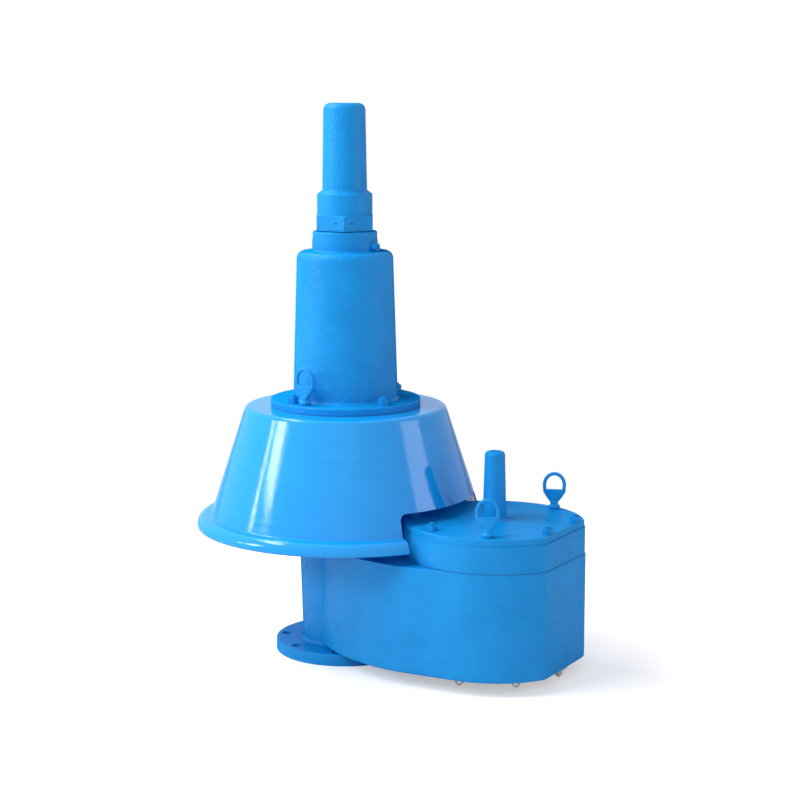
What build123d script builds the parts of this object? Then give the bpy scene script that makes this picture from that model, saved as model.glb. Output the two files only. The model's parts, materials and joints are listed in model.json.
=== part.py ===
from build123d import *
import math
import os

# Combined pressure and vacuum relief valve for a tank or vent line, in millimetres, +Z up.
# Origin: centre of the inlet flange's underside. +X runs along the centreline, from the
# pressure valve's axis to the vacuum chamber.

# Inlet flange: 150 mm nominal bore, light marine pipe class
FLANGE_D = 265.0
FLANGE_T = 22.0
FLANGE_PCD = 230.0
FLANGE_HOLES = 8
FLANGE_HOLE_D = 19.0
BORE_D = 146.0

# Riser between the inlet flange and the pressure seat
RISER_WALL = 9.0
RISER_FLARE = 6.0
HEAD_D = 284.0
HEAD_T = 22.0
HEAD_GAP = 8.0
FOOT_FILLET = 5.0

# Side chamber, an oblong casting with a flat end
CHAMBER_X = 313.0
CHAMBER_R = 165.0
CHAMBER_END = 145.0
CHAMBER_H = 194.0
FLOOR_STEP = 4.0
CASTING_WALL = 10.0
CASTING_EDGE = 5.0
END_CORNER_R = 22.0
FLANK_R = 320.0
FLANK_X = 215.0
FLANK_BULGE = 5.0
RIM_T = 24.0
RIM_BORE_R = 131.0
AIR_TUBE_R = 76.0
AIR_TUBE_WALL = 10.0
AIR_TUBE_H = 124.0

# General fits
GASKET_T = 1.5
THREAD_GAP = 0.05
RUNNING_GAP = 0.05
SLIP_GAP = 0.2

# Vacuum cover and its boss
COVER_H = 60.5
COVER_STEP_H = 12.5
COVER_STEP_IN = 1.8
COVER_LAP = 1.5
COVER_TOP_T = 14.0
COVER_POCKET_R = 128.0
COVER_PCD = 288.0
COVER_BOLTS = 8
BOSS_R_FOOT = 21.5
BOSS_R_TOP = 18.0
BOSS_H = 125.0
BOSS_CAP_T = 15.0

# Vacuum valve
VAC_SEAT_H = 18.0
VAC_DISC_R = 84.0
VAC_DISC_T = 7.0
VAC_SPINDLE_R = 8.0
VAC_LIFT = 25.0
VAC_BUSH_R = 13.0

# Flame screen in the air inlet
SCREEN_T = 3.0
SCREEN_LAP = 10.0
SCREEN_RING_T = 4.0
SCREEN_RING_R = 140.0
SCREEN_PCD = 262.0
SCREEN_STUDS = 8

# Pressure seat and pressure valve
SEAT_H = 18.0
SEAT_FOOT_T = 8.0
SEAT_FOOT_R = 100.0
SEAT_REBATE = 4.0
SEAT_SPIGOT_H = 8.0
SEAT_LIP_R = 76.0
SEAT_LIP_W = 6.0
SEAT_SCREWS = 6
DISC_R = 84.0
DISC_T = 9.0
DISC_HUB_R = 24.0
DISC_HUB_H = 26.0
SEAL_T = 3.0
RETAINER_R = 64.0
RETAINER_T = 6.0
SPINDLE_R = 10.0
SPINDLE_COLLAR_R = 17.0
SPINDLE_COLLAR_H = 8.0
PRESSURE_LIFT = 28.0

# Pillars that carry the hood and the bonnet
PILLAR_PCD = 236.0
PILLAR_R = 11.0
PILLAR_H = 213.0
PILLARS = 4
PILLAR_START = -22.5
PILLAR_ROOT = 18.0

# Hood: a spun cone whose rim rolls out and down to a wired edge
HOOD_T = 3.0
HOOD_TOP_R = 186.0
HOOD_SHOULDER = 9.0
HOOD_LIP_R = 279.0
HOOD_LIP_OUT = 26.6
HOOD_SKIRT_DROP = 202.5
HOOD_CREASE = 3.0
HOOD_ROLL_R = 19.0
HOOD_LIP_STRAIGHT = 0.5
HOOD_HEM_R = 4.0
HOOD_CUT_HALF = 35.0
HOOD_CUT_TOP = 22.0
HOOD_CUT_CORNER = 12.0

# Bonnet, the spring's casing
BASE_R = 139.0
BASE_T = 12.0
CASING_R_FOOT = 97.2
CASING_R_TOP = 88.4
CASING_H = 273.5
CASING_WALL = 9.0
CASING_SHOULDER = 14.0
NECK_R = 60.3
NECK_STEP_H = 20.0
NECK_H = 36.0
SPIGOT_R = 43.7
SPIGOT_H = 26.0
LUG_R = 8.0
LUG_REACH = 10.0

# Guide plate and spindle bush
GUIDE_R = 102.0
GUIDE_T = 10.0
GUIDE_SPIGOT = 6.0
GUIDE_SCREW_PCD = 190.0
GUIDE_SCREWS = 4
BUSH_R = 15.0
BUSH_COLLAR_R = 21.0
BUSH_COLLAR_T = 3.0

# Spring, its plates and the adjusting screw
PLATE_R = 58.0
PLATE_T = 12.0
PLATE_HUB_R = 42.0
PLATE_HUB_H = 6.0
SPRING_R = 50.0
SPRING_WIRE_R = 6.0
SPRING_H = 182.0
SPRING_TURNS = 6.5
COLLAR_RISE = 16.0
SCREW_R = 18.0
SCREW_H = 262.0
SCREW_BORE_SPARE = 14.0
SCREW_HEX_AF = 27.0
SCREW_HEX_H = 26.0
SPINDLE_GUIDE_H = 28.0
LOCK_NUT_AF = 50.0
LOCK_NUT_H = 16.0

# Screw cap
HEX_AF = 101.5
HEX_H = 30.0
HEX_CHAMFER = 4.0
COLLAR_R = 50.7
COLLAR_H = 36.0
CAP_R_FOOT = 41.0
CAP_R_TOP = 38.2
CAP_H = 230.5
CAP_NECK_H = 7.0
CAP_DOME = 13.0
CAP_WALL = 6.0
WIRE_HOLE_R = 1.6
WIRE_HOLE_IN = 15.0

# Fasteners: thread radius, nut height and nut width across flats
M12 = {"r": 6.0, "nut_h": 10.0, "af": 19.0}
M10 = {"r": 5.0, "nut_h": 8.0, "af": 17.0}
M8 = {"r": 4.0, "nut_h": 6.5, "af": 13.0}
M6 = {"r": 3.0, "nut_h": 5.0, "af": 10.0}
WASHER_T = 2.0
STUD_END = 4.0

# Eye nuts for lifting
EYE_RING_R = 21.0
EYE_HOLE_R = 13.7
EYE_CENTRE_H = 46.0
EYE_STEM_R = 8.5
EYE_BASE_R = 11.0
EYE_BASE_H = 8.0
EYE_T = 12.0
EYE_ROUND = 3.0
LIFT_EYE_START = -97.0

# Heights that follow from the sizes above
BORE_R = BORE_D / 2
RISER_R = BORE_R + RISER_WALL
HEAD_RISER_R = RISER_R + RISER_FLARE
Z_FLOOR = FLANGE_T + FLOOR_STEP
Z_BODY = Z_FLOOR + CHAMBER_H
Z_HEAD = Z_BODY + HEAD_GAP + HEAD_T
Z_SEAT = Z_HEAD + SEAT_H
Z_PILLAR = Z_HEAD + PILLAR_H
Z_HOOD = Z_PILLAR + HOOD_T
Z_BASE = Z_HOOD + GASKET_T
Z_BASE_TOP = Z_BASE + BASE_T
Z_NECK_FOOT = Z_BASE_TOP + CASING_H
Z_NECK = Z_NECK_FOOT + NECK_H
Z_ROOF = Z_NECK_FOOT - CASING_WALL - 3.0
Z_SPIGOT = Z_NECK + SPIGOT_H
Z_CAP = Z_NECK + GASKET_T
Z_COVER = Z_BODY + GASKET_T
Z_COVER_TOP = Z_COVER + COVER_H
Z_BOSS = Z_COVER_TOP + BOSS_H
Z_POCKET = Z_COVER_TOP - COVER_TOP_T
Z_AIR_TUBE = Z_FLOOR + AIR_TUBE_H
Z_VAC_SEAT = Z_AIR_TUBE + VAC_SEAT_H
Z_LOW_PLATE = Z_BASE_TOP + COLLAR_RISE
Z_SPRING = Z_LOW_PLATE + PLATE_T
Z_TOP_PLATE = Z_SPRING + SPRING_H
Z_SCREW = Z_TOP_PLATE + PLATE_T
Z_SCREEN = Z_FLOOR + SCREEN_T


# Building blocks

def turned(*corners, x=0.0):
    """Solid of revolution about a vertical axis at x, from (radius, height, fillet) corners."""
    points = [(c[0], 0, c[1]) for c in corners]
    radii = [c[2] if len(c) > 2 else 0 for c in corners]
    outline = FilletPolyline(*points, radius=radii, close=True)
    return Pos(x, 0, 0) * revolve(make_face(outline), Axis.Z)


def ring(r_out, r_in, z_low, z_high, x=0.0, y=0.0):
    """Flat ring, or a disc where r_in is 0."""
    face = Circle(r_out) - Circle(r_in) if r_in > 0 else Circle(r_out)
    return Pos(x, y, z_low) * extrude(face, z_high - z_low)


def rod(radius, z_low, z_high, x=0.0, y=0.0, bevel=0.0):
    """Round bar with a bevel at its upper end."""
    bar = ring(radius, 0, z_low, z_high, x, y)
    return chamfer(bar.edges().group_by(Axis.Z)[-1], bevel) if bevel else bar


def polar(radius, count, start=0.0, x=0.0):
    """Points on a circle as (x, y, angle in degrees)."""
    step = 360.0 / count
    angles = [start + step * k for k in range(count)]
    return [(x + radius * math.cos(math.radians(a)), radius * math.sin(math.radians(a)), a)
            for a in angles]


def hexagon(across_flats, z_low, z_high, x=0.0, y=0.0, turn=0.0, both=False):
    """Hexagonal prism with its upper corners turned off at 30 degrees, or both ends."""
    corner_r = across_flats / math.sqrt(3)
    drop = (corner_r - across_flats / 2) * math.tan(math.radians(30))
    foot = across_flats / 2 if both else corner_r + 1
    foot_rise = drop if both else 0.5
    envelope = turned((0, z_low), (foot, z_low), (corner_r + 1, z_low + foot_rise + 0.3),
                      (corner_r + 1, z_high - drop - 0.3), (across_flats / 2, z_high), (0, z_high))
    prism = extrude(RegularPolygon(corner_r, 6, rotation=turn), z_high - z_low)
    return Pos(x, y, 0) * (Pos(0, 0, z_low) * prism & envelope)


def nut(size, z, x, y, turn=0.0):
    """Hexagon nut standing on height z."""
    blank = hexagon(size["af"], z, z + size["nut_h"], x, y, turn)
    return blank - ring(size["r"] + THREAD_GAP, 0, z - 1, z + size["nut_h"] + 1, x, y)


def washer(size, z, x, y):
    """Plain washer standing on height z."""
    return ring(size["r"] * 2, size["r"] + 0.4, z, z + WASHER_T, x, y)


def hex_bolt(size, z_seat, reach, x, y, turn=0.0):
    """Hexagon bolt whose head hangs below z_seat and whose shank goes up."""
    head = hexagon(size["af"], -size["nut_h"] * 0.65, 0, turn=turn)
    shank = ring(size["r"], 0, -0.5, reach)
    return Pos(x, y, z_seat) * (head + shank)


def eye_nut(size, z, x, y, turn):
    """Forged eye nut on height z, its eye facing along the angle turn."""
    teardrop = make_hull((Pos(0, EYE_CENTRE_H) * Circle(EYE_RING_R)
                          + Pos(0, EYE_BASE_H + EYE_STEM_R) * Circle(EYE_STEM_R)).edges())
    face = teardrop - Pos(0, EYE_CENTRE_H) * Circle(EYE_HOLE_R)
    blade = extrude(Plane.XZ * face, EYE_T / 2, both=True)
    blade = chamfer(blade.edges().filter_by(Plane.XZ), EYE_ROUND)
    foot = turned((0, 0), (EYE_BASE_R, 0), (EYE_BASE_R, EYE_BASE_H * 0.6, 1.5),
                  (EYE_STEM_R, EYE_BASE_H), (EYE_STEM_R, EYE_BASE_H * 2), (0, EYE_BASE_H * 2))
    eye = blade + foot - ring(size["r"] + THREAD_GAP, 0, -1, EYE_BASE_H + STUD_END)
    return Pos(x, y, z) * Rot(0, 0, turn + 90) * eye


def tangent_points(centre_a, r_a, centre_b, r_b):
    """Points where the lower outer tangent touches circle a and circle b."""
    dx, dy = centre_b[0] - centre_a[0], centre_b[1] - centre_a[1]
    gap = math.hypot(dx, dy)
    normal = math.atan2(dy, dx) - math.acos((r_a - r_b) / gap)
    return [(c[0] + r * math.cos(normal), c[1] + r * math.sin(normal))
            for c, r in ((centre_a, r_a), (centre_b, r_b))]


def on_circle(centre, radius, degrees):
    """Point on a circle at an angle."""
    angle = math.radians(degrees)
    return (centre[0] + radius * math.cos(angle), centre[1] + radius * math.sin(angle))


def bearing(centre, point):
    """Angle from a centre to a point, in degrees."""
    return math.degrees(math.atan2(point[1] - centre[1], point[0] - centre[0]))


# Plan outlines

def end_disc(inset=0.0, corner=END_CORNER_R):
    """Chamber's round end: a circle cut off flat, with rounded corners."""
    radius = CHAMBER_R - inset
    reach = CHAMBER_END - inset
    disc = Circle(radius) & Pos(reach - 2 * radius, 0) * Rectangle(4 * radius, 4 * radius)
    corners = [v for v in disc.vertices() if abs(v.X - reach) < 0.01]
    return Pos(CHAMBER_X, 0) * fillet(corners, max(corner - inset, 4.0))


def flank_sheet(inset=0.0):
    """Chamber's bowed flanks, from the riser's axis to the round end."""
    flank_r = FLANK_R - inset
    centre = (FLANK_X, FLANK_R - CHAMBER_R - FLANK_BULGE)
    near, far = tangent_points(centre, flank_r, (CHAMBER_X, 0), CHAMBER_R - inset)
    start_y = centre[1] - math.sqrt(flank_r ** 2 - centre[0] ** 2)
    start = (0.0, start_y)
    middle = on_circle(centre, flank_r, (bearing(centre, start) + bearing(centre, near)) / 2)
    lower = ThreePointArc(start, middle, near) + Line(near, far)
    upper = mirror(lower, Plane.XZ)
    ends = Line(start, (0.0, -start_y)) + Line(far, (far[0], -far[1]))
    return make_face(lower + upper + ends)


def body_plan(inset=0.0):
    """Whole outline of the body in plan, drawn in by inset."""
    return flank_sheet(inset) + end_disc(inset) + Circle(RISER_R - inset)


def eye_points():
    """Places of the cover's eye nuts: one stud in from each end of the row."""
    return [COVER_POINTS[1], COVER_POINTS[-2]]


FLANGE_POINTS = polar(FLANGE_PCD / 2, FLANGE_HOLES, 180.0 / FLANGE_HOLES)
COVER_POINTS = polar(COVER_PCD / 2, COVER_BOLTS, 180.0 / COVER_BOLTS, CHAMBER_X)
SCREEN_POINTS = polar(SCREEN_PCD / 2, SCREEN_STUDS, 0.0, CHAMBER_X)
PILLAR_POINTS = polar(PILLAR_PCD / 2, PILLARS, PILLAR_START)
LIFT_POINTS = polar(PILLAR_PCD / 2, 2, LIFT_EYE_START)
GUIDE_POINTS = polar(GUIDE_SCREW_PCD / 2, GUIDE_SCREWS, PILLAR_START + 45)
SEAT_POINTS = polar((SEAT_FOOT_R + SEAT_LIP_R) / 2 + 3.0, SEAT_SCREWS)


# Valve body

def riser():
    """Inlet flange, tapered riser and head flange as one turned blank."""
    flange_r, head_r = FLANGE_D / 2, HEAD_D / 2
    z_head_foot = Z_HEAD - HEAD_T
    return turned((0, 0), (flange_r, 0, 1), (flange_r, FLANGE_T, 2), (RISER_R, FLANGE_T, FOOT_FILLET),
                  (HEAD_RISER_R, z_head_foot, FOOT_FILLET), (head_r, z_head_foot, 2),
                  (head_r, Z_HEAD, 1), (0, Z_HEAD))


def chamber_block():
    """Outside of the chamber casting with its edges rounded."""
    block = Pos(0, 0, Z_FLOOR) * extrude(body_plan(), CHAMBER_H)
    rims = block.edges().group_by(Axis.Z)
    block = fillet(rims[0], CASTING_EDGE)
    return chamfer(block.edges().group_by(Axis.Z)[-1], 1.0)


def chamber_hollow():
    """Gas space in the chamber and the riser, around the air tube."""
    z_low, z_high = Z_FLOOR + CASTING_WALL, Z_BODY - CASTING_WALL
    space = Pos(0, 0, z_low) * extrude(body_plan(CASTING_WALL), z_high - z_low)
    rim = ring(CHAMBER_R, RIM_BORE_R, Z_BODY - RIM_T, z_high + 1, CHAMBER_X)
    tube = ring(AIR_TUBE_R + AIR_TUBE_WALL, 0, z_low - 1, Z_AIR_TUBE, CHAMBER_X)
    mouth = ring(RIM_BORE_R, 0, Z_BODY - RIM_T, Z_BODY + 1, CHAMBER_X)
    return space - rim - tube + mouth


def valve_body():
    """One casting: inlet flange, riser, head flange, chamber and air tube."""
    body = riser() + chamber_block() - chamber_hollow()
    body -= ring(BORE_R, 0, -1, Z_HEAD + 1)
    body -= ring(BORE_R + SEAT_REBATE, 0, Z_HEAD - SEAT_SPIGOT_H - GASKET_T, Z_HEAD + 1)
    body -= ring(AIR_TUBE_R, 0, Z_FLOOR - 1, Z_AIR_TUBE + 1, CHAMBER_X)
    body -= ring(AIR_TUBE_R + SCREEN_LAP, 0, Z_FLOOR - 1, Z_SCREEN, CHAMBER_X)
    for x, y, _ in FLANGE_POINTS:
        body -= ring(FLANGE_HOLE_D / 2, 0, -1, FLANGE_T + 1, x, y)
    for x, y, _ in COVER_POINTS:
        body -= ring(M10["r"] + THREAD_GAP, 0, Z_BODY - RIM_T + 2, Z_BODY + 1, x, y)
    for x, y, _ in SCREEN_POINTS:
        body -= ring(M8["r"] + THREAD_GAP, 0, Z_FLOOR - 1, Z_FLOOR + CASTING_WALL - 2, x, y)
    for x, y, _ in PILLAR_POINTS:
        body -= ring(M12["r"] + THREAD_GAP, 0, Z_HEAD - PILLAR_ROOT, Z_HEAD + 1, x, y)
    for x, y, _ in SEAT_POINTS:
        body -= ring(M6["r"] + THREAD_GAP, 0, Z_HEAD - 12, Z_HEAD + 1, x, y)
    return body


# Pressure valve

def pressure_seat():
    """Seat ring bolted on the riser's head, with a narrow raised lip."""
    lip_in = SEAT_LIP_R - SEAT_LIP_W
    spigot_r = BORE_R + SEAT_REBATE - SLIP_GAP
    z_low = Z_HEAD - SEAT_SPIGOT_H
    seat = turned((lip_in, z_low), (spigot_r, z_low), (spigot_r, Z_HEAD),
                  (SEAT_FOOT_R, Z_HEAD), (SEAT_FOOT_R, Z_HEAD + SEAT_FOOT_T, 1),
                  (SEAT_LIP_R + 5, Z_HEAD + SEAT_FOOT_T, 2), (SEAT_LIP_R, Z_SEAT),
                  (lip_in, Z_SEAT))
    for x, y, _ in SEAT_POINTS:
        seat -= ring(M6["r"] + THREAD_GAP, 0, Z_HEAD - 1, Z_SEAT, x, y)
    return seat


def seat_screws():
    """Cap screws that hold the pressure seat."""
    z = Z_HEAD + SEAT_FOOT_T
    return [ring(M6["r"], 0, Z_HEAD - 11, z, x, y) + rod(5.0, z, z + 6, x, y, 0.6)
            for x, y, _ in SEAT_POINTS]


def valve_disc(z_seat, radius, thick, hub_r, hub_h, bore_r, x=0.0):
    """Turned disc with a hub and a down-turned edge around the soft seal."""
    z_face = z_seat + SEAL_T
    return turned((bore_r, z_face), (radius - 3, z_face), (radius - 3, z_face - 1),
                  (radius, z_face - 1), (radius, z_face + thick - 3, 2),
                  (hub_r + 10, z_face + thick, 4), (hub_r, z_face + thick + 6, 3),
                  (hub_r, z_face + hub_h, 2), (bore_r, z_face + hub_h), x=x)


def seal_ring(z_seat, radius, x=0.0):
    """Soft sealing ring between the disc and the lip of the seat."""
    return ring(radius - 3.2, RETAINER_R + SLIP_GAP, z_seat, z_seat + SEAL_T, x)


def seal_retainer(z_seat, bore_r, x=0.0):
    """Plate that clamps the soft ring to the disc."""
    z_top = z_seat + SEAL_T
    return turned((bore_r, z_top - RETAINER_T), (RETAINER_R - 8, z_top - RETAINER_T),
                  (RETAINER_R, z_top - SEAL_T), (RETAINER_R, z_top), (bore_r, z_top), x=x)


def pressure_spindle():
    """Spindle with a shoulder over the disc's hub and a collar for the spring plate."""
    z_low = Z_SEAT + SEAL_T - RETAINER_T - M12["nut_h"] - STUD_END
    z_high = Z_SCREW + SPINDLE_GUIDE_H
    z_hub = Z_SEAT + SEAL_T + DISC_HUB_H
    return turned((0, z_low), (M12["r"], z_low, 1), (M12["r"], z_hub), (SPINDLE_R, z_hub),
                  (SPINDLE_R, Z_LOW_PLATE - SPINDLE_COLLAR_H),
                  (SPINDLE_COLLAR_R, Z_LOW_PLATE - SPINDLE_COLLAR_H, 1.5),
                  (SPINDLE_COLLAR_R, Z_LOW_PLATE), (SPINDLE_R - 0.1, Z_LOW_PLATE),
                  (SPINDLE_R - 0.1, z_high, 1.5), (0, z_high))


def spring_plate(z_low, hub_up, bore_r):
    """Spring plate with a locating hub towards the coil."""
    z_high = z_low + PLATE_T
    if hub_up:
        z_hub = z_high + PLATE_HUB_H
        return turned((bore_r, z_low), (PLATE_R, z_low, 2), (PLATE_R, z_high, 1),
                      (PLATE_HUB_R, z_high), (PLATE_HUB_R, z_hub, 2), (bore_r, z_hub))
    z_hub = z_low - PLATE_HUB_H
    return turned((bore_r, z_hub), (PLATE_HUB_R, z_hub, 2), (PLATE_HUB_R, z_low),
                  (PLATE_R, z_low, 1), (PLATE_R, z_high, 2), (bore_r, z_high))


def spring():
    """Coil spring with ends ground flat on the two plates."""
    rise = SPRING_H - SPRING_WIRE_R
    path = Helix(rise / SPRING_TURNS, rise, SPRING_R, center=(0, 0, Z_SPRING + SPRING_WIRE_R / 2))
    section = Plane(origin=path @ 0, z_dir=path % 0) * Circle(SPRING_WIRE_R)
    coil = sweep(section, path=path)
    return coil & ring(SPRING_R + 2 * SPRING_WIRE_R, 0, Z_SPRING, Z_TOP_PLATE)


# Hood, pillars and bonnet

def pillars():
    """Pillars screwed into the riser's head, their upper ends through the bonnet's flange."""
    z_end = Z_BASE_TOP + WASHER_T + M12["nut_h"] + STUD_END
    bars = []
    for x, y, _ in PILLAR_POINTS:
        bar = turned((0, Z_HEAD - PILLAR_ROOT + 1), (M12["r"], Z_HEAD - PILLAR_ROOT + 1),
                     (M12["r"], Z_HEAD), (PILLAR_R, Z_HEAD), (PILLAR_R, Z_PILLAR),
                     (M12["r"], Z_PILLAR), (M12["r"], z_end, 1), (0, z_end))
        bars.append(Pos(x, y, 0) * bar)
    return bars


def hood_section():
    """Half section of the sheet as (radius, height): cone, rolled-out rim and wired edge."""
    z_roll, skirt_r = Z_HOOD - HOOD_SKIRT_DROP, HOOD_LIP_R - HOOD_LIP_OUT
    z_hem = z_roll - HOOD_ROLL_R - HOOD_LIP_STRAIGHT
    slope = math.atan2(HOOD_SKIRT_DROP, skirt_r - HOOD_TOP_R)
    lean = HOOD_T / math.tan(slope) - HOOD_T / math.sin(slope)
    lip_in = HOOD_LIP_R - HOOD_T
    outer = [(GUIDE_R + 2, Z_HOOD), (HOOD_TOP_R, Z_HOOD), (skirt_r, z_roll),
             (HOOD_LIP_R, z_roll), (HOOD_LIP_R, z_hem)]
    inner = [(lip_in, z_hem), (lip_in, z_roll - HOOD_T), (skirt_r + lean, z_roll - HOOD_T),
             (HOOD_TOP_R + lean, Z_HOOD - HOOD_T), (GUIDE_R + 2, Z_HOOD - HOOD_T)]
    radii = [0, HOOD_SHOULDER, HOOD_CREASE, HOOD_ROLL_R, 0, 0, HOOD_ROLL_R - HOOD_T,
             HOOD_CREASE + HOOD_T, HOOD_SHOULDER - HOOD_T, 0]
    sheet = make_face(FilletPolyline(*outer, *inner, radius=radii, close=True))
    return sheet + Pos(HOOD_LIP_R - HOOD_HEM_R, z_hem) * Circle(HOOD_HEM_R)


def hood():
    """Spun hood, cut away over the vacuum cover and drilled for pillars and lifting bolts."""
    shell = revolve(Plane.XZ * hood_section(), Axis.Z)
    far = HOOD_LIP_R * 1.5
    side = far * math.tan(math.radians(HOOD_CUT_HALF))
    wedge = extrude(make_face(Polyline((0, 0), (far, -side), (far, side), close=True)),
                    Z_COVER_TOP + HOOD_CUT_TOP)
    top = wedge.edges().group_by(Axis.Z)[-1].filter_by(GeomType.LINE)
    sides = [e for e in top if abs(e.center().Y) > 1]
    shell -= fillet(sides, HOOD_CUT_CORNER)
    for x, y, _ in PILLAR_POINTS + LIFT_POINTS:
        shell -= ring(M12["r"] + 0.5, 0, Z_HOOD - 2 * HOOD_T, Z_HOOD + 1, x, y)
    return shell


def hood_gasket():
    """Flat gasket between the hood and the bonnet's flange."""
    sheet = ring(BASE_R, GUIDE_R + 2, Z_HOOD, Z_BASE)
    for x, y, _ in PILLAR_POINTS + LIFT_POINTS:
        sheet -= ring(M12["r"] + 0.5, 0, Z_HOOD - 1, Z_BASE + 1, x, y)
    return sheet


def bonnet():
    """Spring casing with its base flange, neck, threaded spigot and lug."""
    bore = SCREW_R + RUNNING_GAP
    foot_bore = CASING_R_FOOT - CASING_WALL
    top_bore = CASING_R_TOP - CASING_WALL
    shell = turned((bore, Z_ROOF), (top_bore, Z_ROOF, 8), (foot_bore, Z_BASE), (BASE_R, Z_BASE),
                   (BASE_R, Z_BASE_TOP, 1.5), (CASING_R_FOOT, Z_BASE_TOP, 6),
                   (CASING_R_TOP, Z_NECK_FOOT, CASING_SHOULDER), (NECK_R, Z_NECK_FOOT, 3),
                   (NECK_R, Z_NECK_FOOT + NECK_STEP_H), (NECK_R - 1, Z_NECK_FOOT + NECK_STEP_H),
                   (NECK_R - 1, Z_NECK, 3), (SPIGOT_R, Z_NECK), (SPIGOT_R, Z_SPIGOT, 1),
                   (bore, Z_SPIGOT))
    lug_z = Z_NECK_FOOT + LUG_R
    lug = Pos(NECK_R - 12, 0, lug_z) * Rot(0, 90, 0) * extrude(Circle(LUG_R), 12 + LUG_REACH)
    hole = Pos(NECK_R - 6, 0, lug_z) * Rot(0, 90, 0) * extrude(Circle(M6["r"]), 30)
    shell = shell + lug - hole
    for x, y, _ in PILLAR_POINTS + LIFT_POINTS:
        shell -= ring(M12["r"] + 0.5, 0, Z_BASE - 1, Z_BASE_TOP + 1, x, y)
    for x, y, _ in GUIDE_POINTS:
        shell -= ring(M8["r"] + THREAD_GAP, 0, Z_BASE - 1, Z_BASE + BASE_T - 2, x, y)
    return shell


def neck_set_screw():
    """Slotted screw in the neck's lug."""
    z = Z_NECK_FOOT + LUG_R
    screw = extrude(Circle(M6["r"] - THREAD_GAP), LUG_REACH + 3)
    slot = Pos(0, 0, LUG_REACH + 3) * Box(8, 1, 3)
    return Pos(NECK_R - 4, 0, z) * Rot(0, 90, 0) * (screw - slot)


def guide_plate():
    """Plate that closes the bonnet's foot and carries the spindle bush."""
    spigot_r = CASING_R_FOOT - CASING_WALL - SLIP_GAP - 1
    plate = turned((BUSH_R, Z_BASE - GUIDE_T), (GUIDE_R, Z_BASE - GUIDE_T, 2), (GUIDE_R, Z_BASE),
                   (spigot_r, Z_BASE), (spigot_r, Z_BASE + GUIDE_SPIGOT, 1),
                   (BUSH_R, Z_BASE + GUIDE_SPIGOT))
    for x, y, _ in GUIDE_POINTS:
        plate -= ring(M8["r"] + THREAD_GAP, 0, Z_BASE - GUIDE_T - 1, Z_BASE + 1, x, y)
    return plate


def guide_screws():
    """Hexagon screws that hold the guide plate to the bonnet."""
    return [hex_bolt(M8, Z_BASE - GUIDE_T, GUIDE_T + BASE_T - 3, x, y, a)
            for x, y, a in GUIDE_POINTS]


def spindle_bush():
    """Bronze bush for the pressure spindle."""
    bore = SPINDLE_R + RUNNING_GAP
    z_top = Z_BASE + GUIDE_SPIGOT
    return turned((bore, Z_BASE - GUIDE_T - 3), (BUSH_R, Z_BASE - GUIDE_T - 3), (BUSH_R, z_top),
                  (BUSH_COLLAR_R, z_top), (BUSH_COLLAR_R, z_top + BUSH_COLLAR_T, 0.8),
                  (bore, z_top + BUSH_COLLAR_T))


def bonnet_nuts():
    """Nuts on the pillars' upper ends."""
    return [nut(M12, Z_BASE_TOP + WASHER_T, x, y, a) for x, y, a in PILLAR_POINTS]


def bonnet_washers():
    """Washers under the nuts and the eye nuts of the bonnet's flange."""
    return [washer(M12, Z_BASE_TOP, x, y) for x, y, _ in PILLAR_POINTS + LIFT_POINTS]


def lifting_bolts():
    """Bolts that come up through the hood for the lifting eyes."""
    reach = HOOD_T + GASKET_T + BASE_T + WASHER_T + EYE_BASE_H
    return [hex_bolt(M12, Z_PILLAR, reach, x, y, a) for x, y, a in LIFT_POINTS]


def lifting_eyes():
    """Eye nuts on the bonnet's flange."""
    return [eye_nut(M12, Z_BASE_TOP + WASHER_T, x, y, a) for x, y, a in LIFT_POINTS]


# Adjusting screw and cap

def adjusting_screw():
    """Hollow-ended screw that sets the spring's load, with a spanner hexagon on top."""
    z_top = Z_SCREW + SCREW_H
    z_hex = z_top - SCREW_HEX_H
    z_bore = Z_SCREW + SPINDLE_GUIDE_H + PRESSURE_LIFT + SCREW_BORE_SPARE
    guide = SPINDLE_R + RUNNING_GAP
    shank = turned((guide, Z_SCREW), (SCREW_R, Z_SCREW, 1.5), (SCREW_R, z_hex, 2), (0, z_hex),
                   (0, z_bore), (guide, z_bore))
    return shank + hexagon(SCREW_HEX_AF, z_hex - 1, z_top)


def lock_nut():
    """Lock nut of the adjusting screw, on the neck's spigot."""
    blank = hexagon(LOCK_NUT_AF, Z_SPIGOT, Z_SPIGOT + LOCK_NUT_H, both=True)
    return blank - ring(SCREW_R + RUNNING_GAP, 0, Z_SPIGOT - 1, Z_SPIGOT + LOCK_NUT_H + 1)


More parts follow.
